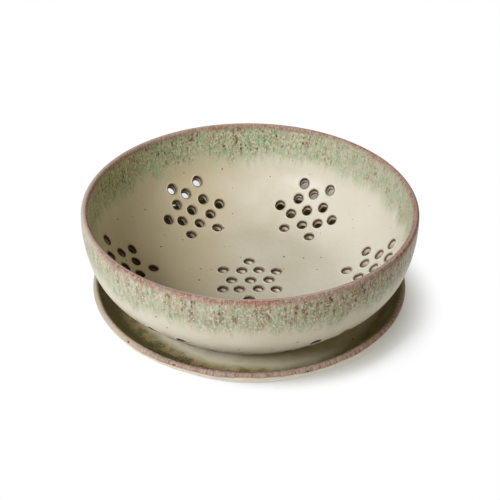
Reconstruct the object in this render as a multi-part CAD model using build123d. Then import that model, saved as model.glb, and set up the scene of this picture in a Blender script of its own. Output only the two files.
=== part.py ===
from build123d import *

import os
from math import atan2, cos, degrees, pi, radians, sin, sqrt

# A berry colander bowl standing in its saucer, two pieces of glazed stoneware.
# Millimetres, +Z up. The origin is the centre of the saucer's foot, on the table.

# Bowl: radii of the outer skin's tangent arcs, from the lip down to the base
BOWL_RADIUS = 90.0
UPPER_ARC = 70.0
SHOULDER_ARC = 29.0
BELLY_ARC = 150.0
OUTER_HEEL_ARC = 12.0
INNER_HEEL_ARC = 33.0

# Bowl: the wall's lean from upright where one arc runs into the next, in degrees
LIP_LEAN = 3.4
SHOULDER_LEAN = 16.7
BELLY_LEAN = 42.4
OUTER_HEEL_LEAN = 52.0
INNER_HEEL_LEAN = 47.0

# Bowl: wall, which thins towards the lip, and foot ring
BOWL_WALL = 4.4
LIP_WALL = 3.4
FOOT_RADIUS = 46.0
FOOT_WIDTH = 6.0
FOOT_HEIGHT = 2.5

# Drain holes: stars of thirteen holes, six round the wall and one in the floor
HOLE_DIAMETER = 5.0
HOLE_SIDES = 8
HOLE_PITCH = 10.2
STAR_POINTS = 6
WALL_STARS = 6
STAR_DROP = 46.5
HOLE_WANDER = 0.6
HOLE_REACH = 10.0

# In the wall the punch is held this share of the way from square to the hand's own easy lean
PUNCH_LEAN = 75.0
PUNCH_SHARE = 0.6

# Saucer
SAUCER_RADIUS = 86.4
SAUCER_WALL = 3.6
SAUCER_LIP_HEIGHT = 16.8
SAUCER_LIP_LEAN = 12.0
SAUCER_LIP_ARC = 6.0
SAUCER_WALL_LEAN = 47.0
SAUCER_FLOOR = 7.5
SAUCER_CORNER = 12.0
SAUCER_FOOT_WIDTH = 6.0
SAUCER_FOOT_HEIGHT = 2.5

# Flats that stand in for each arc of the section, fewest where the curve is slight
UPPER_FLATS = 2
SHOULDER_FLATS = 2
BELLY_FLATS = 1
HEEL_FLATS = 2
LIP_FLATS = 3
FLICK_FLATS = 1
CORNER_FLATS = 2

# The angle that spreads the small errors of punching by hand in all directions
GOLDEN_ANGLE = 180 * (3 - sqrt(5))


def polar(radius, angle):
    """A flat point at this distance and angle in degrees from the origin."""
    return Vector(radius * cos(radians(angle)), radius * sin(radians(angle)))


def heading(lean):
    """Direction down a wall that leans in towards the axis by this angle."""
    return Vector(-sin(radians(lean)), -cos(radians(lean)))


def left_of(direction):
    """The direction a quarter turn to the left, which points out of a wall seen on its way down."""
    return Vector(-direction.Y, direction.X)


def lean_of(direction):
    """How far a way down a wall leans in towards the axis, in degrees."""
    return degrees(atan2(-direction.X, -direction.Y))


def arc_to(start, end, end_lean):
    """An arc down a wall between two points that has this lean where it ends."""
    chord = end - start
    turn = 2 * (end_lean - lean_of(chord))
    radius = chord.length / 2 / sin(radians(turn / 2))
    return JernArc(start=start, tangent=heading(end_lean - turn), radius=radius, arc_size=-turn)


def run_on(line, radius, turn):
    """An arc that carries a line on without a kink, bending towards the axis."""
    return JernArc(start=line @ 1, tangent=line % 1, radius=radius, arc_size=-turn)


def flats(arc, count):
    """Corner points of the flats that stand in for an arc, from its start to its end."""
    return [arc @ (k / count) for k in range(count + 1)]


def lip_points(outer, inner):
    """Corner points over the rounded top of a wall, from its inner line to its outer line."""
    middle = (outer @ 0 + inner @ 0) / 2
    half_wall = (outer @ 0 - middle).length
    crown = middle - (outer % 0) * half_wall
    return flats(ThreePointArc(inner @ 0, crown, outer @ 0), LIP_FLATS)


def turned(points):
    """The solid swept by a closed section turned once round the axis."""
    return revolve(Plane.XZ * make_face(Polyline(*points, close=True)), Axis.Z)


def bowl_line(lip_depth, depth, heel_lean, heel_arc):
    """One side of the bowl's section, from the lip down.

    It lies lip_depth below the outer skin at the lip, and depth below it from the shoulder on.
    Heights count from the bowl's widest level.
    """
    centre = Vector(BOWL_RADIUS - UPPER_ARC, 0)
    top = centre + polar(UPPER_ARC - lip_depth, LIP_LEAN)
    upper = arc_to(top, centre + polar(UPPER_ARC - depth, -SHOULDER_LEAN), SHOULDER_LEAN)
    shoulder = run_on(upper, SHOULDER_ARC - depth, BELLY_LEAN - SHOULDER_LEAN)
    belly = run_on(shoulder, BELLY_ARC - depth, heel_lean - BELLY_LEAN)
    heel = run_on(belly, heel_arc, 90 - heel_lean)
    return [upper, shoulder, belly, heel]


def wall_points(line):
    """Corner points down one side of the bowl, below its lip."""
    counts = [UPPER_FLATS, SHOULDER_FLATS, BELLY_FLATS, HEEL_FLATS]
    return [point for arc, count in zip(line, counts) for point in flats(arc, count)[1:]]


def bowl_blank(outer, inner):
    """The bowl before its holes are punched: wall, lip, floor and foot ring."""
    base = (outer[-1] @ 1).Y
    floor = (inner[-1] @ 1).Y
    foot_inside = FOOT_RADIUS - FOOT_WIDTH
    underside = [
        (FOOT_RADIUS, base),
        (FOOT_RADIUS, base - FOOT_HEIGHT),
        (foot_inside, base - FOOT_HEIGHT),
        (foot_inside, base),
        (0, base),
    ]
    inside = [(0, floor), *reversed(wall_points(inner))]
    return turned([*lip_points(outer[0], inner[0]), *wall_points(outer), *underside, *inside])


def star(number):
    """Places of a star's holes on the flat clay: a centre, a ring of six and six tips.

    Each hole strays a little, as holes punched by hand do.
    """
    sixth = 360 / STAR_POINTS
    places = [Vector(0, 0)]
    for k in range(STAR_POINTS):
        places.append(polar(HOLE_PITCH, sixth * (k + 0.5)))
        places.append(polar(HOLE_PITCH * sqrt(3), sixth * k))
    first = number * len(places)
    return [p + polar(HOLE_WANDER, GOLDEN_ANGLE * (first + k)) for k, p in enumerate(places)]


def punch():
    """The punch for one hole, a prism with the cross section of a round hole's area."""
    turn = 2 * pi / HOLE_SIDES
    corner_radius = HOLE_DIAMETER / 2 * sqrt(turn / sin(turn))
    return extrude(RegularPolygon(corner_radius, HOLE_SIDES), amount=HOLE_REACH, both=True)


def wall_star(inner, number):
    """Punches for one star in the wall, each held steeper or flatter than square by the hand."""
    wall = Wire(inner)
    punches = []
    for place in star(number):
        down = STAR_DROP - place.Y
        entry = wall.position_at(down, PositionMode.LENGTH)
        lean = lean_of(wall.tangent_at(down, PositionMode.LENGTH))
        held = lean + PUNCH_SHARE * (PUNCH_LEAN - lean)
        aim = left_of(heading(held))
        seat = Plane((entry.X, 0, entry.Y), z_dir=(aim.X, 0, aim.Y))
        azimuth = 360 / WALL_STARS * number + degrees(place.X / entry.X)
        punches.append(Rot(0, 0, azimuth) * (seat * punch()))
    return punches


def floor_star(inner):
    """Punches for the star in the middle of the floor, its tips turned to the gaps in the wall."""
    level = (inner[-1] @ 1).Y
    turn = Rot(0, 0, 180 / STAR_POINTS)
    return [turn * Pos(place.X, place.Y, level) * punch() for place in star(WALL_STARS)]


def colander_bowl():
    """The bowl with its drain holes, standing with its foot ring on the saucer's floor."""
    outer = bowl_line(0, 0, OUTER_HEEL_LEAN, OUTER_HEEL_ARC)
    inner = bowl_line(LIP_WALL, BOWL_WALL, INNER_HEEL_LEAN, INNER_HEEL_ARC)
    # The blank's seam lies midway between two stars
    bowl = Rot(0, 0, 180 / WALL_STARS) * bowl_blank(outer, inner)
    for number in range(WALL_STARS):
        bowl -= wall_star(inner, number)
    bowl -= floor_star(inner)
    foot_level = (outer[-1] @ 1).Y - FOOT_HEIGHT
    return Pos(0, 0, SAUCER_FLOOR - foot_level) * bowl


def saucer():
    """The drip saucer: a sloping wall with a flicked-up lip, a flat floor and a foot ring."""
    lip_down = heading(SAUCER_LIP_LEAN)
    wall_down = heading(SAUCER_WALL_LEAN)
    flick = SAUCER_WALL_LEAN - SAUCER_LIP_LEAN
    outer_top = Vector(SAUCER_RADIUS, SAUCER_LIP_HEIGHT)
    inner_top = outer_top - left_of(lip_down) * SAUCER_WALL
    outer = JernArc(outer_top, lip_down, SAUCER_LIP_ARC, -flick)
    inner = JernArc(inner_top, lip_down, SAUCER_LIP_ARC - SAUCER_WALL, -flick)

    foot = outer @ 1 + wall_down * ((outer @ 1).Y / -wall_down.Y)
    foot_inside = foot.X - SAUCER_FOOT_WIDTH
    underside = [
        foot,
        (foot_inside, 0),
        (foot_inside, SAUCER_FOOT_HEIGHT),
        (0, SAUCER_FOOT_HEIGHT),
    ]
    corner = inner @ 1 + wall_down * (((inner @ 1).Y - SAUCER_FLOOR) / -wall_down.Y)
    well = FilletPolyline(inner @ 1, corner, (0, SAUCER_FLOOR), radius=SAUCER_CORNER)
    bend = well.edges().filter_by(GeomType.CIRCLE)[0]
    well_points = [*flats(inner, FLICK_FLATS)[1:], *flats(bend, CORNER_FLATS), (0, SAUCER_FLOOR)]
    skin_points = [*lip_points(outer, inner), *flats(outer, FLICK_FLATS)[1:]]
    return turned([*skin_points, *underside, *reversed(well_points)])


os.makedirs("parts", exist_ok=True)
export_step(colander_bowl(), "parts/colander_bowl.step")
export_step(saucer(), "parts/saucer.step")
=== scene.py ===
from math import acos, ceil, cos, degrees, pi, radians, sin, sqrt, tan

import bpy
import numpy as np
from mathutils import Matrix, Vector
from mathutils.geometry import delaunay_2d_cdt

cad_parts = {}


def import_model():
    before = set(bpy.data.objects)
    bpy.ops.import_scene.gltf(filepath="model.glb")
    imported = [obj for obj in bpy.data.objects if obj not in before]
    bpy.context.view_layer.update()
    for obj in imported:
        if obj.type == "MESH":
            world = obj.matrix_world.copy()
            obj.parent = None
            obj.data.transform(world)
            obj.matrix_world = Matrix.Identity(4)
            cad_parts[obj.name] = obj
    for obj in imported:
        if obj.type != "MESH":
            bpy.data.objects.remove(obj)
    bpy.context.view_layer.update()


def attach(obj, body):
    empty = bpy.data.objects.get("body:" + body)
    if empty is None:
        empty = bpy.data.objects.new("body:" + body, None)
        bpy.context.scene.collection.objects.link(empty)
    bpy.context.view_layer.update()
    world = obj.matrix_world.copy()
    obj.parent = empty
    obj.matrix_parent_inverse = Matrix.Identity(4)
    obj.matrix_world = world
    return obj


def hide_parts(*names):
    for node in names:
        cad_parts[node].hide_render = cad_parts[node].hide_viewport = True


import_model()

# A berry colander bowl in its saucer, turned and punched as the part's source does it, with
# round lips, round holes and a reactive glaze. Lengths are millimetres unless metres are named.
MM = 0.001

# Bowl: radii of the outer skin's tangent arcs, from the lip down to the base
BOWL_RADIUS = 90.0
UPPER_ARC = 70.0
SHOULDER_ARC = 29.0
BELLY_ARC = 150.0
OUTER_HEEL_ARC = 12.0
INNER_HEEL_ARC = 33.0

# Bowl: the wall's lean from upright where one arc runs into the next, in degrees
LIP_LEAN = 3.4
SHOULDER_LEAN = 16.7
BELLY_LEAN = 42.4
OUTER_HEEL_LEAN = 52.0
INNER_HEEL_LEAN = 47.0

# Bowl: wall, which thins towards the lip, and foot ring
BOWL_WALL = 4.4
LIP_WALL = 3.4
FOOT_RADIUS = 46.0
FOOT_WIDTH = 6.0
FOOT_HEIGHT = 2.5

# Drain holes: stars of thirteen holes, six round the wall and one in the floor
HOLE_DIAMETER = 5.0
HOLE_PITCH = 10.2
STAR_POINTS = 6
WALL_STARS = 6
STAR_DROP = 46.5
HOLE_WANDER = 0.6

# The angle that spreads the small errors of punching by hand in all directions
GOLDEN_ANGLE = 180 * (3 - sqrt(5))

# In the wall the punch is held this share of the way from square to the hand's own easy lean
PUNCH_LEAN = 75.0
PUNCH_SHARE = 0.6

# Saucer
SAUCER_RADIUS = 86.4
SAUCER_WALL = 3.6
SAUCER_LIP_HEIGHT = 16.8
SAUCER_LIP_LEAN = 12.0
SAUCER_LIP_ARC = 6.0
SAUCER_WALL_LEAN = 47.0
SAUCER_FLOOR = 7.5
SAUCER_CORNER = 12.0
SAUCER_FOOT_WIDTH = 6.0
SAUCER_FOOT_HEIGHT = 2.5

# Radii of the eased edges of the holes and of the foot rings
HOLE_EASE = 0.6
FOOT_EASE = 0.9

# Mesh: longest step along a section, and most degrees in a step of an arc and of an eased edge
RING_STEP = 2.4
ARC_STEP = 9.0
EASE_STEP = 18.0

# Mesh: points in a ring of the wall. Nearer the axis than COARSE_RADIUS, a ring has COARSE_COLUMNS
# points for each COARSE_STEP of its radius
COLUMNS = 240
COARSE_RADIUS = FOOT_RADIUS - FOOT_WIDTH - 2
COARSE_COLUMNS = 12
COARSE_STEP = 5

# Mesh: points round a hole, rings in its eased edge, how far outside that edge a further ring lies,
# and the gap from there to other points
HOLE_COLUMNS = 24
EASE_RINGS = 3
HALO = 1.0
CLEAR = 0.8

# Mesh: the part filled with triangles ends this far from the bowl's crown, or from the saucer's axis
BOWL_MARGIN = 24.0
SAUCER_PATCH = 12.0

# Mesh: half the step that measures a section's slope, rounds of closing in on a sheet, the least
# radius to divide by, and the triangle filler's kind of output and the gap below which it merges points
SLOPE_STEP = 0.5
SETTLE_ROUNDS = 8
LEAST_RADIUS = 1e-9
CONVEX_HULL = 0
MERGE_GAP = 1e-7

# The hole attribute is the distance from a hole's wall, or one of these in mid wall and far from holes
MID_WALL = -1.5
NO_HOLE = 99.0

# Map: how much of its room each disc fills, and the sizes of a hole's neck and of its ring in mid
# wall as shares of its edge
MAP_FILL = 0.98
NECK_SIZE = 0.5
MID_WALL_SIZE = 0.2

# Camera, found by fitting the rim and the lower outlines of the photograph
CAMERA_TARGET = (0.15, 0.0, 35.5)
CAMERA_DISTANCE = 650.0
CAMERA_ELEVATION = 34.1
CAMERA_ROLL = 0.594
CAMERA_LENS = 85.34
CAMERA_SENSOR = 36.0
CAMERA_CLIP = 10.0

# Floor, in metres: middles of the two round patches that keep the shadow, the second behind the bowl,
# how far from the nearer middle the floor starts to run out and is white, and how far it reaches
SHADOW_MIDDLES = [(0.02, 0.006, 0.0), (0.0, 0.075, 0.0)]
SHADOW_FADE = (0.062, 0.091)
FLOOR_REACH = 3.0

# Floor: linear colours of its paper, how fine that is, and the glow that lightens the shadow
PAPER_DARK = (0.93, 0.93, 0.93, 1)
PAPER_PALE = (0.95, 0.95, 0.95, 1)
PAPER_SCALE = 40.0
GLOW_COLOUR = (0.76, 0.87, 1, 1)
GLOW_STRENGTH = 0.185

# Light: white, the dim surround, the place that the lamps aim at, and each lamp's name, place, width,
# watts and colour. Places and widths are in metres
WHITE = (1, 1, 1, 1)
SURROUND_COLOUR = (1.0, 0.82, 0.48, 1)
SURROUND_STRENGTH = 0.12
LAMP_AIM = (0, 0, 0.03)
LAMPS = [
    ("key", (-0.731, -0.731, 0.868), 0.5, 18.8, (0.95, 0.975, 1.06)),
    ("fill", (0.869, -0.782, 0.675), 0.8, 2.0, (1.0, 0.88, 0.55)),
]


def unit(vector):
    """The same direction with length 1."""
    return vector / np.linalg.norm(vector)


def polar(radius, angle):
    """A flat point at this distance and angle in degrees from the origin."""
    return np.array([radius * cos(radians(angle)), radius * sin(radians(angle))])


def facing(lean):
    """Direction out of a wall that leans in by this angle, as radius and height."""
    return np.array([cos(radians(lean)), -sin(radians(lean))])


def arc(centre, radius, start, end):
    """Points round an arc between two leans of its wall."""
    turn = abs(end - start)
    count = ceil(max(turn / ARC_STEP, radians(turn) * radius / RING_STEP))
    return [centre + radius * facing(lean) for lean in np.linspace(start, end, count + 1)]


def straight(start, end):
    """Points along a straight run."""
    count = ceil(np.linalg.norm(end - start) / RING_STEP)
    return [start + (end - start) * share for share in np.linspace(0, 1, count + 1)]


def eased(corners, radius):
    """A line through these corners, with each turn eased by an arc of this radius."""
    corners = [np.array(corner, float) for corner in corners]
    line = [corners[0]]
    for before, corner, after in zip(corners, corners[1:], corners[2:]):
        back = unit(before - corner)
        on = unit(after - corner)
        half = acos(np.clip(back @ on, -1, 1)) / 2
        bend = pi - 2 * half
        centre = corner + unit(back + on) * radius / sin(half)
        first = corner + back * radius / tan(half) - centre
        last = corner + on * radius / tan(half) - centre
        count = ceil(max(degrees(bend) / EASE_STEP, bend * radius / RING_STEP))
        turn = [centre + radius * unit(first + (last - first) * k / count) for k in range(count + 1)]
        line += straight(line[-1], turn[0])[1:] + turn[1:]
    return line + straight(line[-1], corners[-1])[1:]


def lip_half(outer, inner, towards):
    """Points over a lip from its crown down to where one side of the wall starts.

    Towards is 1 for the outer side and -1 for the inner one.
    """
    middle = (outer + inner) / 2
    across = (outer - inner) / 2
    along = np.array([-across[1], across[0]])
    turns = np.linspace(90, 0, ceil(90 / ARC_STEP) + 1)
    return [middle + along * sin(radians(t)) + towards * across * cos(radians(t)) for t in turns]


class Sheet:
    """One side of a turned piece: a line of radius and height from the axis out to the lip's crown.

    Reach is the distance along it from the axis. A sheet unrolls to a disc with reach as its radius.
    """

    def __init__(self, from_crown):
        self.line = np.array(from_crown[::-1])
        self.steps = np.diff(self.line, axis=0)
        self.lengths = np.linalg.norm(self.steps, axis=1)
        self.reach = np.concatenate([[0], np.cumsum(self.lengths)])
        self.edge = self.reach[-1]

    def profile(self, reach):
        """Radius and height of the line at this reach."""
        return np.stack([np.interp(reach, self.reach, self.line[:, k]) for k in (0, 1)], -1)

    def heading(self, reach):
        """Direction of the line away from the axis."""
        before = self.profile(np.maximum(reach - SLOPE_STEP, 0))
        after = self.profile(np.minimum(reach + SLOPE_STEP, self.edge))
        ahead = after - before
        return ahead / np.linalg.norm(ahead, axis=-1, keepdims=True)

    def place(self, reach, azimuth):
        """The point of the turned sheet at this reach and azimuth."""
        radius, height = np.moveaxis(self.profile(reach), -1, 0)
        return np.stack([radius * np.cos(azimuth), radius * np.sin(azimuth), height], -1)

    def locate(self, points):
        """How far each point lies to the line's left, and the reach of the nearest place on it."""
        flat = np.stack([np.hypot(points[..., 0], points[..., 1]), points[..., 2]], -1)
        apart = flat[..., None, :] - self.line[:-1]
        share = np.clip((apart * self.steps).sum(-1) / self.lengths**2, 0, 1)
        gap = np.linalg.norm(apart - share[..., None] * self.steps, axis=-1)
        nearest = gap.argmin(-1)[..., None]
        left = self.steps[:, 0] * apart[..., 1] - self.steps[:, 1] * apart[..., 0]
        side = np.sign(np.take_along_axis(left, nearest, -1)[..., 0])
        share = np.take_along_axis(share, nearest, -1)[..., 0]
        nearest = nearest[..., 0]
        return side * gap.min(-1), self.reach[nearest] + share * self.lengths[nearest]

    def settle(self, starts, ways, first):
        """How far to go from each start, along its way, to meet the sheet, tried from first on."""
        far = np.full(starts.shape[:-1], first)
        for _ in range(SETTLE_ROUNDS):
            far = far + self.locate(starts + far[..., None] * ways)[0]
        return far


def bowl_side(lip_depth, depth, heel_lean, heel_arc):
    """One side of the bowl's section, from the lip down to the flat.

    It lies lip_depth below the outer skin at the lip, and depth below it from the shoulder on.
    Heights count from the bowl's widest level.
    """
    centre = np.array([BOWL_RADIUS - UPPER_ARC, 0.0])
    top = centre + (UPPER_ARC - lip_depth) * facing(-LIP_LEAN)
    shoulder = centre + (UPPER_ARC - depth) * facing(SHOULDER_LEAN)
    chord = shoulder - top
    turn = 2 * (SHOULDER_LEAN - degrees(np.arctan2(-chord[0], -chord[1])))
    upper = np.linalg.norm(chord) / 2 / sin(radians(turn / 2))
    radii = [upper, SHOULDER_ARC - depth, BELLY_ARC - depth, heel_arc]
    leans = [SHOULDER_LEAN - turn, SHOULDER_LEAN, BELLY_LEAN, heel_lean, 90]
    centre = shoulder - upper * facing(SHOULDER_LEAN)
    line = []
    for k, radius in enumerate(radii):
        if k > 0:
            centre = centre + (radii[k - 1] - radius) * facing(leans[k])
        line += arc(centre, radius, leans[k], leans[k + 1])[min(k, 1):]
    return line


def bowl_sheets():
    """The inside and the outside of the bowl, standing on the saucer's floor."""
    outer = bowl_side(0, 0, OUTER_HEEL_LEAN, OUTER_HEEL_ARC)
    inner = bowl_side(LIP_WALL, BOWL_WALL, INNER_HEEL_LEAN, INNER_HEEL_ARC)
    base = outer[-1][1]
    foot = base - FOOT_HEIGHT
    foot_inside = FOOT_RADIUS - FOOT_WIDTH
    underside = [
        outer[-1],
        (FOOT_RADIUS, base),
        (FOOT_RADIUS, foot),
        (foot_inside, foot),
        (foot_inside, base),
        (0, base),
    ]
    outside = lip_half(outer[0], inner[0], 1) + outer[1:-1] + eased(underside, FOOT_EASE)
    floor_middle = np.array([0, inner[-1][1]])
    inside = lip_half(outer[0], inner[0], -1) + inner[1:-1] + straight(inner[-1], floor_middle)
    lift = np.array([0, SAUCER_FLOOR - foot])
    return Sheet([p + lift for p in inside]), Sheet([p + lift for p in outside])


def saucer_sheets():
    """The well and the outside of the saucer."""
    wall_down = np.array([-sin(radians(SAUCER_WALL_LEAN)), -cos(radians(SAUCER_WALL_LEAN))])
    top = np.array([SAUCER_RADIUS, SAUCER_LIP_HEIGHT])
    centre = top - SAUCER_LIP_ARC * facing(SAUCER_LIP_LEAN)
    outer = arc(centre, SAUCER_LIP_ARC, SAUCER_LIP_LEAN, SAUCER_WALL_LEAN)
    inner = arc(centre, SAUCER_LIP_ARC - SAUCER_WALL, SAUCER_LIP_LEAN, SAUCER_WALL_LEAN)
    foot = outer[-1] - wall_down * outer[-1][1] / wall_down[1]
    foot_inside = foot[0] - SAUCER_FOOT_WIDTH
    underside = [
        outer[-1],
        foot,
        (foot_inside, 0),
        (foot_inside, SAUCER_FOOT_HEIGHT),
        (0, SAUCER_FOOT_HEIGHT),
    ]
    corner = inner[-1] - wall_down * (inner[-1][1] - SAUCER_FLOOR) / wall_down[1]
    well = eased([inner[-1], corner, (0, SAUCER_FLOOR)], SAUCER_CORNER)
    outside = lip_half(outer[0], inner[0], 1) + outer[1:-1] + eased(underside, FOOT_EASE)
    inside = lip_half(outer[0], inner[0], -1) + inner[1:-1] + well
    return Sheet(inside), Sheet(outside)


def star(number):
    """Places of a star's holes on the flat clay: a centre, a ring of six and six tips.

    Each hole strays a little, as holes punched by hand do.
    """
    sixth = 360 / STAR_POINTS
    places = [np.zeros(2)]
    for k in range(STAR_POINTS):
        places.append(polar(HOLE_PITCH, sixth * (k + 0.5)))
        places.append(polar(HOLE_PITCH * sqrt(3), sixth * k))
    first = number * len(places)
    return [p + polar(HOLE_WANDER, GOLDEN_ANGLE * (first + k)) for k, p in enumerate(places)]


def drain_holes(inside):
    """Reach and azimuth of every hole in the bowl's inside, and the lean that its punch is square to."""
    lip_start = inside.edge - radians(90) * LIP_WALL / 2
    holes = []
    for number in range(WALL_STARS):
        middle = radians(360 / WALL_STARS * number)
        for across, up in star(number):
            reach = lip_start - STAR_DROP + up
            lean = degrees(np.arctan2(*inside.heading(reach)))
            held = lean + PUNCH_SHARE * (PUNCH_LEAN - lean)
            holes.append((reach, middle + across / inside.profile(reach)[0], radians(held)))

    # The floor's star has its tips turned to the gaps in the wall
    turn = radians(180 / STAR_POINTS)
    for x, y in star(WALL_STARS):
        holes.append((np.hypot(x, y), np.arctan2(y, x) + turn, radians(90)))
    return np.array(holes)


class Holes:
    """Drain holes: where each one enters, its axis, and the directions from its axis to points round it."""

    def __init__(self, inside, spots):
        reach, azimuth, held = spots.T
        slope = np.stack([np.sin(held), np.cos(held)], -1)
        ahead = np.stack([np.cos(azimuth), np.sin(azimuth), 0 * azimuth], -1)
        aside = np.stack([-np.sin(azimuth), np.cos(azimuth), 0 * azimuth], -1)
        up = np.array([0, 0, 1])
        along = slope[:, :1] * ahead + slope[:, 1:] * up
        self.centre = inside.place(reach, azimuth)
        self.axis = slope[:, 1:] * ahead - slope[:, :1] * up
        turns = np.linspace(0, 2 * pi, HOLE_COLUMNS, endpoint=False)[:, None]
        self.spokes = np.cos(turns) * aside[:, None] + np.sin(turns) * along[:, None]

    def ring(self, sheet, radius, depth, way):
        """Points round every hole at this radius, and this deep in the clay from a sheet.

        Way is 1 for the inside's sheet and -1 for the outside's.
        """
        starts = self.centre[:, None] + radius * self.spokes
        ways = np.broadcast_to(self.axis[:, None], starts.shape)
        first = 0.0 if way > 0 else BOWL_WALL
        far = sheet.settle(starts, ways, first)
        return starts + (far + way * depth)[..., None] * ways


class Half:
    """The mesh of one side of a piece, from the axis to the lip's crown, with its half of the holes.

    Way is 1 for the inside and -1 for the outside.
    """

    def __init__(self, sheet, way, patch_reach, holes=None):
        self.sheet = sheet
        self.way = way
        self.points, self.disc, self.hole, self.faces = [], [], [], []
        self.count = 0
        border = self.patch(patch_reach, holes)
        self.crown = self.wall(border, patch_reach)
        if holes:
            self.rims = self.tubes(holes)

    def add(self, points, disc, hole):
        """Adds vertices, and gives their numbers in the shape they came in."""
        shape = points.shape[:-1]
        numbers = np.arange(self.count, self.count + int(np.prod(shape))).reshape(shape)
        self.points.append(points.reshape(-1, 3))
        self.disc.append(disc.reshape(-1, 2))
        self.hole.append(np.broadcast_to(hole, shape).reshape(-1))
        self.count += numbers.size
        return numbers

    def face(self, corners):
        """Adds a face whose corners run anticlockwise as seen from above the unrolled disc."""
        self.faces.append(tuple(corners if self.way > 0 else corners[::-1]))

    def unrolled(self, points):
        """Places of points on the unrolled disc."""
        reach = self.sheet.locate(points)[1]
        spread = np.hypot(points[..., 0], points[..., 1])
        return points[..., :2] / np.maximum(spread, LEAST_RADIUS)[..., None] * reach[..., None]

    def lattice(self, reach, columns):
        """Evenly spaced points round the sheet at this reach, and their places on the disc."""
        azimuth = np.linspace(0, 2 * pi, columns, endpoint=False)
        disc = reach * np.stack([np.cos(azimuth), np.sin(azimuth)], -1)
        return self.sheet.place(np.full(columns, reach), azimuth), disc

    def patch(self, patch_reach, holes):
        """The part round the axis, filled with triangles between rings of points and the edges of holes."""
        fixed = []
        if holes:
            edge_radius = HOLE_DIAMETER / 2 + HOLE_EASE
            edge = holes.ring(self.sheet, edge_radius, 0, self.way)
            halo = holes.ring(self.sheet, edge_radius + HALO, 0, self.way)
            self.edge = self.add(edge, self.unrolled(edge), HOLE_EASE)
            self.add(halo, self.unrolled(halo), HOLE_EASE + HALO)
            self.middles = edge.mean(1)
            fixed = [loop.tolist() for loop in self.edge]
        for reach in self.sheet.reach[self.sheet.reach < patch_reach - RING_STEP / 2]:
            spread = self.sheet.profile(reach)[0]
            coarse = max(COARSE_COLUMNS * ceil(spread / COARSE_STEP), 1)
            points, disc = self.lattice(reach, COLUMNS if spread > COARSE_RADIUS else coarse)
            away = self.away(points, holes)
            keep = away > HOLE_EASE + HALO + CLEAR
            if keep.any():
                self.add(points[keep], disc[keep], away[keep])
        points, disc = self.lattice(patch_reach, COLUMNS)
        border = self.add(points, disc, self.away(points, holes))
        fixed.append(border.tolist())
        self.triangulate(fixed)
        return border

    def away(self, points, holes):
        """Distance of each point from the nearest hole's wall."""
        if not holes:
            return np.full(points.shape[:-1], NO_HOLE)
        gaps = np.linalg.norm(points[:, None] - self.middles[None], axis=-1)
        return gaps.min(1) - HOLE_DIAMETER / 2

    def triangulate(self, loops):
        """Fills the disc within the last loop, and leaves the other loops open as holes."""
        flat = [Vector(spot) for spot in np.concatenate(self.disc)]
        edges = [pair for loop in loops for pair in zip(loop, loop[1:] + loop[:1])]
        _, _, faces, origins, _, _ = delaunay_2d_cdt(flat, edges, [], CONVEX_HULL, MERGE_GAP)
        owner = {number: k for k, loop in enumerate(loops[:-1]) for number in loop}
        for face in faces:
            corners = [origins[k][0] for k in face]
            owners = {owner.get(k) for k in corners}
            if len(owners) > 1 or None in owners:
                self.face(corners)

    def wall(self, border, patch_reach):
        """Rings of four-sided faces from the patch's border up to the crown."""
        last = border
        for reach in self.sheet.reach[self.sheet.reach > patch_reach + RING_STEP / 2]:
            points, disc = self.lattice(reach, COLUMNS)
            ring = self.add(points, disc, NO_HOLE)
            self.band(last, ring)
            last = ring
        return last

    def band(self, near, far):
        """Faces between two closed rings, the far one lying further out on the disc."""
        for a, b, c, d in zip(near, far, np.roll(far, -1), np.roll(near, -1)):
            self.face([a, b, c, d])

    def tubes(self, holes):
        """The eased edge of every hole, down to its neck, where the straight bore starts."""
        radius = HOLE_DIAMETER / 2
        edge_disc = np.concatenate(self.disc)[self.edge]
        middle = edge_disc.mean(1, keepdims=True)
        rings = [self.edge]
        for k in range(1, EASE_RINGS + 1):
            turn = radians(90) * k / EASE_RINGS
            spread = radius + HOLE_EASE * (1 - sin(turn))
            depth = HOLE_EASE * (1 - cos(turn))
            shrink = 1 - (1 - NECK_SIZE) * k / EASE_RINGS
            points = holes.ring(self.sheet, spread, depth, self.way)
            rings.append(self.add(points, middle + shrink * (edge_disc - middle), spread - radius))
        self.neck = points
        for outer, inner in zip(rings, rings[1:]):
            for wide, narrow in zip(outer, inner):
                self.band(narrow, wide)
        self.mid_disc = middle + MID_WALL_SIZE * (edge_disc - middle)
        return rings[-1]

    def close(self, points):
        """Carries every hole on to its ring in mid wall, whose points both halves share."""
        numbers = self.add(points, self.mid_disc, MID_WALL)
        for wide, narrow in zip(self.rims, numbers):
            self.band(narrow, wide)
        return numbers


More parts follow.
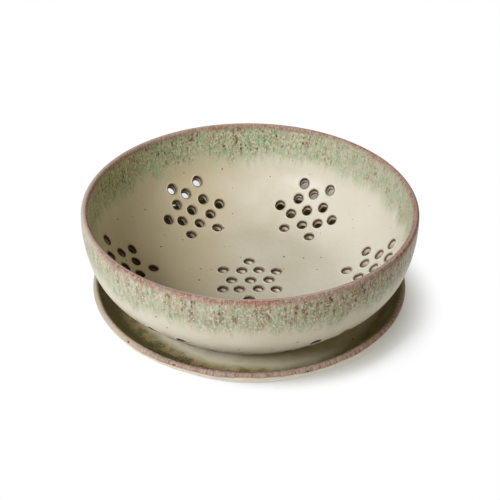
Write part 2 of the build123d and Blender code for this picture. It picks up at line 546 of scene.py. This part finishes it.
def glazed_piece(name, body, node, sheets, patch_reaches, material, spots=None):
    """Makes a piece from its two sides, welded at the crown and in the holes, and puts it on its body."""
    inside, outside = sheets
    holes = Holes(inside, spots) if spots is not None else None
    near = Half(inside, 1, patch_reaches[0], holes)
    far = Half(outside, -1, patch_reaches[1], holes)
    shared = [(near.crown, far.crown)]
    if holes:
        mid_wall = (near.neck + far.neck) / 2
        shared.append((near.close(mid_wall), far.close(mid_wall)))
    numbers = np.arange(far.count) + near.count
    for kept, dropped in shared:
        numbers[dropped] = kept
    numbers = np.concatenate([np.arange(near.count), numbers])
    used, packed = np.unique(numbers, return_inverse=True)
    points = np.concatenate(near.points + far.points)[used]
    faces = [packed[list(face)].tolist() for face in near.faces]
    faces += [packed[near.count + np.array(face)].tolist() for face in far.faces]

    mesh = bpy.data.meshes.new(name)
    mesh.from_pydata((points * MM).tolist(), [], faces)
    mesh.shade_smooth()
    halves = (near, far)
    attributes = {
        "drop": [half.sheet.edge - np.linalg.norm(np.concatenate(half.disc), axis=1) for half in halves],
        "hole": near.hole + far.hole,
        "outward": [np.full(near.count, 0.0), np.full(far.count, 1.0)],
    }
    for label, values in attributes.items():
        data = mesh.attributes.new(label, "FLOAT", "POINT").data
        data.foreach_set("value", np.concatenate(values)[used].astype(np.float32))
    unwrap(mesh, near, far)
    mesh.materials.append(material)
    piece = bpy.data.objects.new(name, mesh)
    bpy.context.scene.collection.objects.link(piece)
    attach(piece, body)
    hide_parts(node)


def unwrap(mesh, near, far):
    """Lays the two unrolled discs corner to corner on one map."""
    spread = 1 / (2 + sqrt(2))
    scale = MAP_FILL * spread / max(near.sheet.edge, far.sheet.edge)
    corners = []
    for half, middle in ((near, spread), (far, 1 - spread)):
        flat = np.concatenate(half.disc) * scale * (half.way, 1) + middle
        corners += [flat[list(face)] for face in half.faces]
    layer = mesh.uv_layers.new(name="OFBake")
    layer.uv.foreach_set("vector", np.concatenate(corners).astype(np.float32).ravel())


def rgb(red, green, blue):
    """A colour as it looks on screen, from 0 to 255, as the linear colour that nodes take."""
    shares = [v / 255 for v in (red, green, blue)]
    return tuple(v / 12.92 if v <= 0.04045 else ((v + 0.055) / 1.055) ** 2.4 for v in shares) + (1.0,)


# Both glazes: dark specks, the bare clay of the foot rings and its roughness, how high above a foot's
# face the glaze is whole and where it ends, the relief in metres, and the gloss
SPECK = rgb(88, 64, 42)
CLAY_DARK = rgb(168, 138, 110)
CLAY_PALE = rgb(196, 168, 138)
CLAY_ROUGHNESS = 0.85
GLAZE_WHOLE = 0.9
GLAZE_END = 0.3
GLAZE_RELIEF = 0.00015
GLAZE_SPECULAR = 0.2

# Patterns: how far along those on the outside are shifted, so that they differ from the inside's, and
# the smallest radius of a dot and its soft edge as shares of the largest radius
OUTSIDE_SHIFT = 60.0
SMALLEST_DOT = 0.35
SOFT_EDGE = 0.22

# Bowl: the beige body, with a darker, warmer beige painted as shade on the inside's left and a brighter one
# painted as light on its right
BEIGE_DARK = rgb(201, 193, 170)
BEIGE_PALE = rgb(210, 203, 183)
BEIGE_OUTSIDE = rgb(178, 170, 146)
BEIGE_SHADE = rgb(194, 180, 148)
BEIGE_LIT = rgb(222, 216, 198)
BEIGE_GRAIN = rgb(172, 160, 134)
SMALL_SPECK = rgb(112, 88, 62)

# Bowl: the green band, with a paler green painted as light where the wall faces the lamp
DEEP_INSIDE = rgb(142, 130, 98)
DEEP_OUTSIDE = rgb(104, 88, 62)
PALE_INSIDE = rgb(207, 206, 173)
PALE_OUTSIDE = rgb(219, 213, 185)
TAN = rgb(170, 136, 106)
LOW_GREEN = rgb(164, 178, 142)
MINT = rgb(148, 171, 132)
VIVID_INSIDE = rgb(104, 168, 122)
VIVID_OUTSIDE = rgb(124, 182, 138)
LAMP_SIDE_GREEN = rgb(178, 171, 145)
OUTSIDE_TINGE = rgb(150, 136, 104)
FLECK_INSIDE = rgb(64, 36, 26)
FLECK_OUTSIDE = rgb(90, 42, 28)
RUST = rgb(132, 84, 60)
CREAM = rgb(216, 210, 186)
FRINGE = rgb(196, 204, 178)

# Bowl: the brown lip
LIP_DARK = rgb(120, 90, 76)
LIP_PALE = rgb(164, 132, 115)
LIP_RED = rgb(148, 92, 78)
LIP_GREY = rgb(150, 132, 122)
LIP_INSIDE = rgb(186, 160, 142)
LIP_LIGHT = rgb(194, 168, 150)
LIP_FLECK = rgb(106, 68, 55)
LIP_PALEST = rgb(200, 186, 170)

# Bowl: the drain holes, with brown bores at the left painted as shade
RING = rgb(66, 43, 28)
BORE_SHADE = rgb(98, 74, 54)
BORE = rgb(238, 222, 196)

# Saucer: the beige body and the olive well, which reaches further down on the left by WELL_TILT for
# each millimetre across. OUTSIDE_DROP puts the outside beyond the well
SAUCER_BEIGE_DARK = rgb(207, 198, 171)
SAUCER_BEIGE_PALE = rgb(219, 211, 188)
OLIVE_DARK = rgb(80, 70, 42)
OLIVE_PALE = rgb(140, 130, 90)
OLIVE_BROWN = rgb(112, 86, 54)
OLIVE_GREEN = rgb(88, 104, 60)
# A lighter olive for the right, partly painted light in the bowl's shadow
OLIVE_LIT = rgb(154, 144, 104)
OLIVE_TAN = rgb(170, 148, 104)
OLIVE_LEFT = rgb(150, 138, 100)
WELL_FRINGE = rgb(150, 150, 104)
WELL_TILT = 0.085
OUTSIDE_DROP = 80.0

# Saucer: the brown-pink lip
PINK_DARK = rgb(114, 90, 77)
PINK_PALE = rgb(170, 148, 134)
PINK_LIGHT = rgb(186, 168, 152)
PINK_FLECK = rgb(104, 76, 62)
PINK_LEFT = rgb(184, 173, 150)
LIP_SPOT = rgb(88, 50, 38)


class Nodes:
    """Fills one node tree. Apart from node, each call gives a socket that the next can take."""

    def __init__(self, tree):
        self.tree = tree
        tree.nodes.clear()

    def node(self, kind, inputs=(), **settings):
        """Adds a node with these settings, and sets or links its inputs."""
        made = self.tree.nodes.new("ShaderNode" + kind)
        for key, value in settings.items():
            setattr(made, key, value)
        for key, value in dict(inputs).items():
            if isinstance(value, bpy.types.NodeSocket):
                self.tree.links.new(value, made.inputs[key])
            else:
                made.inputs[key].default_value = value
        return made

    def math(self, operation, *values):
        """One step of arithmetic."""
        return self.node("Math", dict(enumerate(values)), operation=operation).outputs[0]

    def vector(self, operation, *values):
        """One step of arithmetic on vectors."""
        return self.node("VectorMath", dict(enumerate(values)), operation=operation).outputs[0]

    def part(self, a, b):
        """One value times another."""
        return self.math("MULTIPLY", a, b)

    def mix(self, share, a, b):
        """Colour a with this share of it turned into colour b."""
        return self.node("Mix", {0: share, 6: a, 7: b}, data_type="RGBA").outputs[2]

    def total(self, start, *shifts):
        """Start plus each value times its weight, the values being centred on a half."""
        for value, weight in shifts:
            centred = self.math("SUBTRACT", value, 0.5)
            start = self.math("MULTIPLY_ADD", centred, weight, start)
        return start

    def step(self, value, low, high, to_low=0.0, to_high=1.0):
        """Goes smoothly from to_low to to_high as value goes from low to high."""
        inputs = {"Value": value, "From Min": low, "From Max": high, "To Min": to_low, "To Max": to_high}
        return self.node("MapRange", inputs, interpolation_type="SMOOTHSTEP").outputs[0]

    def tint(self, colour, other, value, low, high, most=1.0):
        """Turns a colour into another as value goes from low to high, up to this share."""
        return self.mix(self.step(value, low, high, 0.0, most), colour, other)

    def noise(self, at, scale, detail=2.0, roughness=0.5):
        """Soft random patches, mostly near a half."""
        inputs = {"Vector": at, "Scale": scale, "Detail": detail, "Roughness": roughness}
        return self.node("TexNoise", inputs).outputs["Fac"]

    def seen(self):
        """1 on rays from the camera and on those that gloss or glass sends on, else 0."""
        rays = self.node("LightPath").outputs
        sent_on = self.math("MAXIMUM", rays["Is Glossy Ray"], rays["Is Transmission Ray"])
        return self.math("MAXIMUM", rays["Is Camera Ray"], sent_on)


class Look(Nodes):
    """The nodes of one material."""

    def __init__(self, name):
        self.material = bpy.data.materials.new(name)
        self.material.use_nodes = True
        super().__init__(self.material.node_tree)
        self.place = self.node("TexCoord").outputs["Object"]


class Glaze(Look):
    """A glaze, with the measures that its patterns hang on, in millimetres.

    At is the place, across is its distance to the right of the axis, height is its height, drop is the
    distance down the surface from the lip's crown, and outward is 0 on the inside and 1 on the outside.
    Grain is a fine noise. Each kind of glaze adds cloud, a coarse one, and lip, which is 1 on the lip and
    0 below it. Scales of noise are per millimetre.
    """

    def __init__(self, name):
        super().__init__(name)
        self.at = self.vector("MULTIPLY", self.place, (1 / MM, 1 / MM, 1 / MM))
        axes = self.node("SeparateXYZ", {0: self.at}).outputs
        self.across = axes["X"]
        self.height = axes["Z"]
        self.drop = self.attribute("drop")
        self.outward = self.attribute("outward")
        self.grain = self.noise(self.at, 2.2, 2)

    def attribute(self, name):
        """A value that the mesh carries under this name."""
        return self.node("Attribute", attribute_name=name).outputs["Fac"]

    def down_slope(self, stretch):
        """A place round the axis and down the wall, for patterns that run down it.

        The smaller the stretch, the longer they run.
        """
        flat = self.vector("MULTIPLY", self.at, (1, 1, 0))
        shift = self.part(self.outward, OUTSIDE_SHIFT)
        down = self.math("MULTIPLY_ADD", self.drop, stretch, shift)
        upright = self.node("CombineXYZ", {"Z": down}).outputs[0]
        size = (BOWL_RADIUS, BOWL_RADIUS, 0)
        return self.vector("MULTIPLY_ADD", self.vector("NORMALIZE", flat), size, upright)

    def dots(self, at, cell, radius, share, strength):
        """Round spots, one in this share of cells of this size, up to this radius."""
        cells = self.node("TexVoronoi", {"Vector": at, "Scale": 1 / cell, "Randomness": 1.0})
        chance = self.node("SeparateColor", {0: cells.outputs["Color"]}).outputs
        largest = radius / cell
        size = self.step(chance["Green"], 0.0, 1.0, SMALLEST_DOT * largest, largest)
        spot = self.math("SUBTRACT", size, cells.outputs["Distance"])
        soft = self.step(spot, 0.0, SOFT_EDGE * largest)
        chosen = self.math("LESS_THAN", chance["Red"], share)
        return self.part(self.part(soft, chosen), strength)

    def finish(self, colour, relief, foot_level):
        """Shades the glaze, drier at the lip, with bare clay on a foot's face at this level."""
        dryness = self.total(self.grain, (self.lip, 0.6), (self.cloud, 0.4))
        roughness = self.step(dryness, 0.2, 1.0, 0.36, 0.56)
        bare = self.step(self.height, foot_level + GLAZE_WHOLE, foot_level + GLAZE_END)
        clay = self.mix(self.noise(self.at, 1.5, 3), CLAY_DARK, CLAY_PALE)
        bump = self.node("Bump", {"Height": relief, "Distance": GLAZE_RELIEF, "Strength": 1.0})
        shading = {
            "Base Color": self.mix(bare, colour, clay),
            "Roughness": self.math("MAXIMUM", roughness, self.part(bare, CLAY_ROUGHNESS)),
            "Normal": bump.outputs[0],
            "Specular IOR Level": GLAZE_SPECULAR,
        }
        shader = self.node("BsdfPrincipled", shading)
        self.node("OutputMaterial", {"Surface": shader.outputs[0]})
        return self.material


class BowlGlaze(Glaze):
    """Speckled beige with a finely mottled green band below a red-brown lip, and dark rings at the holes.

    Parts of its colour differ from the left to the right as painted shade and painted light, where the key
    lamp leaves the wall in shade or lights it.
    """

    def __init__(self):
        super().__init__("bowl_glaze")
        self.hole = self.attribute("hole")
        self.inward = self.step(self.outward, 0.5, 0.0)
        self.cloud = self.noise(self.at, 0.05, 3)
        self.runs = self.down_slope(0.35)
        self.short_runs = self.down_slope(0.7)
        self.fine = self.noise(self.short_runs, 0.9, 2, 0.6)
        self.stria = self.noise(self.down_slope(0.04), 0.85, 3, 0.6)

        # Painted light: where the wall faces the lamp, on the left outside and on the right inside, the band
        # is paler and has fewer flecks
        self.side = self.part(self.across, self.step(self.outward, 0, 1, 1, -1))
        self.lamp_side = self.step(self.side, 0.0, 70.0)

        # The band's lower edge runs down in drips and streaks
        long_runs = self.down_slope(0.12)
        drips = self.noise(long_runs, 0.11, 2)
        self.streaks = self.noise(long_runs, 0.5, 2, 0.6)
        self.edge = self.total(self.drop, (drips, -20.0), (self.streaks, -14.0), (self.outward, 1.5))
        self.band = self.step(self.edge, 25.5, 16.0)

        # The lip's edge is more ragged on the outside, and a little higher on the inside where the wall
        # faces the lamp
        lamp_side_inside = self.part(self.lamp_side, self.inward)
        ragged = self.total(0.0, (self.stria, -8.0), (self.fine, -5.0))
        ragged = self.part(ragged, self.step(self.outward, 0, 1, 0.35, 1))
        lip_edge = self.math("ADD", self.total(self.drop, (self.cloud, -2.5), (lamp_side_inside, 0.8)), ragged)
        self.lip = self.step(lip_edge, 4.1, 1.5)

    def body_colour(self):
        """Beige, on the inside with painted warm shade to the left and painted light to the right, with
        grain and dark specks.
        """
        colour = self.mix(self.step(self.cloud, 0.3, 0.7), BEIGE_DARK, BEIGE_PALE)
        colour = self.mix(self.part(self.outward, 0.25), colour, BEIGE_OUTSIDE)
        # Painted shade: the inside's left wall, which the lamp leaves in shade, turns a darker, warmer
        # beige. Painted light: its right wall, which the lamp lights, turns brighter
        warm = self.part(self.step(self.across, 2.0, -34.0, 0, 0.8), self.step(self.across, -82.0, -44.0))
        colour = self.mix(self.part(warm, self.inward), colour, BEIGE_SHADE)
        painted_light = self.step(self.across, 8.0, 44.0, 0, 0.5)
        colour = self.mix(self.part(painted_light, self.inward), colour, BEIGE_LIT)
        colour = self.tint(colour, BEIGE_GRAIN, self.grain, 0.5, 0.8, 0.22)
        colour = self.mix(self.dots(self.at, 5.8, 0.75, 0.6, 0.82), colour, SPECK)
        return self.mix(self.dots(self.at, 3.4, 0.36, 0.22, 0.65), colour, SMALL_SPECK)

    def band_colour(self):
        """Mottled green with tan worms and dark flecks, mostly high up, clearer green low down, and painted
        light, paler and with fewer flecks, where the wall faces the lamp.
        """
        deep = self.mix(self.outward, DEEP_INSIDE, DEEP_OUTSIDE)
        pale = self.mix(self.outward, PALE_INSIDE, PALE_OUTSIDE)
        mottle = self.total(self.fine, (self.outward, -0.08))
        green = self.mix(self.step(mottle, 0.41, 0.67), deep, pale)

        high = self.step(self.total(self.drop, (self.outward, 6.0)), 21.0, 12.0)
        worms = self.noise(self.short_runs, 0.36, 3, 0.6)
        worms = self.total(worms, (high, 0.12), (self.outward, 0.08))
        green = self.tint(green, TAN, worms, 0.55, 0.63, 0.55)

        low = self.step(self.noise(self.runs, 0.3, 2), 0.36, 0.6)
        low = self.part(self.step(self.drop, 7.0, 21.0), low)
        green = self.mix(self.part(low, 0.55), green, LOW_GREEN)
        mint = self.step(self.noise(self.short_runs, 0.4, 2, 0.55), 0.53, 0.62, 0, 0.7)
        mint = self.part(mint, self.step(self.outward, 0, 1, 1, 0.75))
        green = self.mix(mint, green, MINT)
        vivid = self.total(self.noise(self.runs, 0.4, 1), (self.outward, -0.05))
        vivid_green = self.mix(self.outward, VIVID_INSIDE, VIVID_OUTSIDE)
        green = self.tint(green, vivid_green, vivid, 0.61, 0.69, 0.8)

        # Painted light: paler green, and fewer flecks and rust dots, where the wall faces the lamp
        green = self.mix(self.part(self.lamp_side, 0.42), green, LAMP_SIDE_GREEN)
        green = self.mix(self.part(self.outward, 0.12), green, OUTSIDE_TINGE)

        away_from_lamp = self.step(self.lamp_side, 0, 1, 1, 0.5)
        clusters = self.total(self.noise(self.at, 0.14, 2), (self.outward, 0.16))
        clusters = self.part(self.step(clusters, 0.38, 0.5, 0.4, 1), high)
        flecks = self.part(self.dots(self.short_runs, 1.5, 0.84, 0.95, 1.0), clusters)
        fleck = self.mix(self.outward, FLECK_INSIDE, FLECK_OUTSIDE)
        green = self.mix(self.part(flecks, away_from_lamp), green, fleck)
        rust = self.dots(self.runs, 2.3, 0.85, 0.5, 0.85)
        green = self.mix(self.part(rust, away_from_lamp), green, RUST)
        return self.mix(self.dots(self.short_runs, 1.5, 0.55, 0.4, 0.7), green, CREAM)

    def lip_colour(self):
        """Streaked brown, in parts red or grey, pale on the crown, less so towards the right inside, and
        outside at the far left.
        """
        brown = self.mix(self.step(self.stria, 0.34, 0.66), LIP_DARK, LIP_PALE)
        brown = self.tint(brown, LIP_RED, self.noise(self.at, 0.06, 2), 0.44, 0.56, 0.75)
        brown = self.tint(brown, LIP_GREY, self.noise(self.at, 0.03, 1), 0.52, 0.62, 0.7)
        brown = self.tint(brown, LIP_INSIDE, self.outward, 1, 0, 0.4)
        brown = self.tint(brown, LIP_LIGHT, self.fine, 0.5, 0.64, 0.55)
        brown = self.tint(brown, LIP_FLECK, self.fine, 0.48, 0.36, 0.6)
        pale_crown = self.part(self.step(self.drop, 1.1, 0.2, 0, 0.65), self.step(self.side, 60.0, 0.0))
        bare = self.part(self.outward, self.step(self.across, -66.0, -86.0, 0, 0.8))
        return self.mix(self.math("MAXIMUM", pale_crown, bare), brown, LIP_PALEST)

    def with_holes(self, colour):
        """Adds dark rings at the holes, made less deep and lighter at the right as painted light, and bores,
        cream but brown at the left as painted shade.
        """
        # Painted light: at the right, where the lamp lights the star, the rings are less deep and lighter.
        # Painted shade: the bores at the left, which the lamp leaves in shade, are brown
        right = self.step(self.across, 35.0, 60.0)
        mouth = self.total(self.hole, (self.noise(self.at, 0.6), 0.7))
        depth = self.total(mouth, (right, -0.3))
        ring = self.part(self.step(mouth, 0.6, 0.25), self.step(depth, -0.875, -0.275))
        ring = self.part(ring, self.step(right, 0, 1, 0.95, 0.9))
        bore = self.mix(self.step(self.across, -60.0, 5.0), BORE_SHADE, BORE)
        colour = self.tint(colour, bore, self.hole, 0.1, -0.2, 0.9)
        return self.mix(ring, colour, RING)

    def made(self):
        """The finished material."""
        colour = self.mix(self.part(self.band, 0.95), self.body_colour(), self.band_colour())
        fringe = self.part(self.step(self.edge, 29.0, 21.0), self.step(self.streaks, 0.4, 0.6))
        colour = self.mix(self.part(fringe, 0.35), colour, FRINGE)
        colour = self.mix(self.part(self.lip, 0.95), colour, self.lip_colour())
        colour = self.with_holes(colour)
        mottle = self.part(self.fine, self.band)
        waves = self.noise(self.at, 0.35, 2)
        relief = self.total(waves, (mottle, 0.8), (self.grain, 0.12), (self.stria, 0.2))
        return self.finish(colour, relief, SAUCER_FLOOR)


class SaucerGlaze(Glaze):
    """Beige that runs to mottled olive in the well, under a brown-pink lip with a few dark spots."""

    def __init__(self):
        super().__init__("saucer_glaze")
        self.patch = self.noise(self.at, 0.05)
        self.cloud = self.noise(self.at, 0.15, 3)
        self.fine = self.noise(self.at, 0.8, 3, 0.6)
        self.stria = self.noise(self.down_slope(0.04), 0.8, 3, 0.6)
        lip_edge = self.total(self.drop, (self.stria, -1.5), (self.patch, -2.5), (self.outward, -2.0))
        self.lip = self.step(lip_edge, 2.3, 1.2)
        level = self.math("MULTIPLY_ADD", self.outward, OUTSIDE_DROP, self.drop)
        tilted = self.math("MULTIPLY_ADD", self.across, WELL_TILT, level)
        self.well = self.total(tilted, (self.patch, -4.0), (self.cloud, -5.0))

    def olive_colour(self):
        """Olive with brown, green and tan patches, paler at the far left, and lighter at the right, partly
        the glaze's own lighter olive and partly painted light in the bowl's shadow.
        """
        olive = self.mix(self.step(self.fine, 0.36, 0.64), OLIVE_DARK, OLIVE_PALE)
        olive = self.tint(olive, OLIVE_BROWN, self.noise(self.at, 0.3, 3), 0.5, 0.6, 0.6)
        olive = self.tint(olive, OLIVE_GREEN, self.noise(self.at, 0.22, 2), 0.53, 0.63, 0.65)
        # Partly painted light: the olive lightens at the right, where the bowl shades the well
        olive = self.tint(olive, OLIVE_LIT, self.across, 10.0, 70.0, 0.45)
        tan_patch = self.step(self.noise(self.at, 0.16, 3), 0.47, 0.58, 0, 0.6)
        olive = self.mix(self.part(tan_patch, self.step(self.well, 8.0, 16.0)), olive, OLIVE_TAN)
        return self.tint(olive, OLIVE_LEFT, self.across, -40.0, -75.0, 0.4)

    def lip_colour(self):
        """Streaked brown-pink, paler at the left, with dark spots."""
        brown = self.mix(self.step(self.stria, 0.3, 0.7), PINK_DARK, PINK_PALE)
        brown = self.tint(brown, PINK_LIGHT, self.fine, 0.52, 0.64, 0.35)
        brown = self.tint(brown, PINK_FLECK, self.fine, 0.46, 0.35, 0.3)
        brown = self.tint(brown, PINK_LEFT, self.across, -35.0, -75.0, 0.8)
        return self.mix(self.dots(self.at, 4.2, 1.0, 0.5, 0.9), brown, LIP_SPOT)

    def made(self):
        """The finished material."""
        colour = self.mix(self.step(self.cloud, 0.3, 0.7), SAUCER_BEIGE_DARK, SAUCER_BEIGE_PALE)
        colour = self.mix(self.dots(self.at, 6.0, 0.7, 0.3, 0.85), colour, SPECK)
        colour = self.tint(colour, WELL_FRINGE, self.well, 26.0, 22.0, 0.35)
        colour = self.tint(colour, self.olive_colour(), self.well, 25.0, 18.0)
        colour = self.mix(self.lip, colour, self.lip_colour())
        waves = self.noise(self.at, 0.35, 2)
        relief = self.total(waves, (self.fine, 0.35), (self.grain, 0.12), (self.stria, 0.2))
        return self.finish(colour, relief, 0.0)


def floor():
    """A pale floor that keeps the shadow near the object and runs out into white."""
    look = Look("floor")
    gaps = []
    for middle in SHADOW_MIDDLES:
        gap = look.node("VectorMath", {0: look.place, 1: middle}, operation="DISTANCE")
        gaps.append(gap.outputs["Value"])
    away = look.math("MINIMUM", *gaps)
    paper = look.mix(look.noise(look.place, PAPER_SCALE, 3), PAPER_DARK, PAPER_PALE)
    plain = look.node("BsdfDiffuse", {"Color": paper}).outputs[0]
    glow = look.node("Emission", {"Color": GLOW_COLOUR, "Strength": GLOW_STRENGTH}).outputs[0]
    near = look.node("AddShader", {0: plain, 1: glow}).outputs[0]
    white = look.node("Emission", {"Color": WHITE, "Strength": 1.0}).outputs[0]
    shown = look.node("MixShader", {0: look.step(away, *SHADOW_FADE), 1: near, 2: white}).outputs[0]
    surface = look.node("MixShader", {0: look.seen(), 1: plain, 2: shown})
    look.node("OutputMaterial", {"Surface": surface.outputs[0]})

    ends = (-FLOOR_REACH, FLOOR_REACH)
    corners = [(x, y, 0) for y in ends for x in ends]
    mesh = bpy.data.meshes.new("floor")
    mesh.from_pydata(corners, [], [(0, 1, 3, 2)])
    mesh.materials.append(look.material)
    plane = bpy.data.objects.new("floor", mesh)
    bpy.context.scene.collection.objects.link(plane)


def world():
    """White to the camera and in reflections, and a dim warm surround as light."""
    surround = bpy.data.worlds.new("studio")
    bpy.context.scene.world = surround
    surround.use_nodes = True
    nodes = Nodes(surround.node_tree)
    soft_light = {"Color": SURROUND_COLOUR, "Strength": SURROUND_STRENGTH}
    soft = nodes.node("Background", soft_light).outputs[0]
    white = nodes.node("Background", {"Color": WHITE, "Strength": 1.0}).outputs[0]
    shown = nodes.node("MixShader", {0: nodes.seen(), 1: soft, 2: white})
    nodes.node("OutputWorld", {"Surface": shown.outputs[0]})


def lamp(name, spot, size, energy, colour):
    """A square soft lamp at this spot, in metres, aimed at the bowl."""
    light = bpy.data.lights.new(name, "AREA")
    light.color = colour
    light.size = size
    light.energy = energy
    made = bpy.data.objects.new(name, light)
    made.location = spot
    made.rotation_mode = "QUATERNION"
    made.rotation_quaternion = (Vector(LAMP_AIM) - Vector(spot)).to_track_quat("-Z", "Y")
    bpy.context.scene.collection.objects.link(made)


def camera():
    """The camera at the photograph's angle."""
    elevation = radians(CAMERA_ELEVATION)
    roll = radians(CAMERA_ROLL)
    back = Vector((0, -cos(elevation), sin(elevation)))
    level = Vector((1, 0, 0))
    upright = back.cross(level)
    right = level * cos(roll) + upright * sin(roll)
    up = upright * cos(roll) - level * sin(roll)
    data = bpy.data.cameras.new("camera")
    data.lens = CAMERA_LENS
    data.sensor_width = CAMERA_SENSOR
    data.clip_start = CAMERA_CLIP * MM
    made = bpy.data.objects.new("camera", data)
    spot = (Vector(CAMERA_TARGET) + back * CAMERA_DISTANCE) * MM
    made.matrix_world = Matrix.Translation(spot) @ Matrix((right, up, back)).transposed().to_4x4()
    bpy.context.scene.collection.objects.link(made)
    bpy.context.scene.camera = made


bowl_sides = bowl_sheets()
glazed_piece(
    "bowl",
    body="bowl",
    node="colander_bowl",
    sheets=bowl_sides,
    patch_reaches=[side.edge - BOWL_MARGIN for side in bowl_sides],
    material=BowlGlaze().made(),
    spots=drain_holes(bowl_sides[0]),
)
glazed_piece(
    "drip_saucer",
    body="saucer",
    node="saucer",
    sheets=saucer_sheets(),
    patch_reaches=[SAUCER_PATCH, SAUCER_PATCH],
    material=SaucerGlaze().made(),
)
floor()
world()
for lamp_facts in LAMPS:
    lamp(*lamp_facts)
camera()
bpy.context.scene.view_settings.view_transform = "Standard"
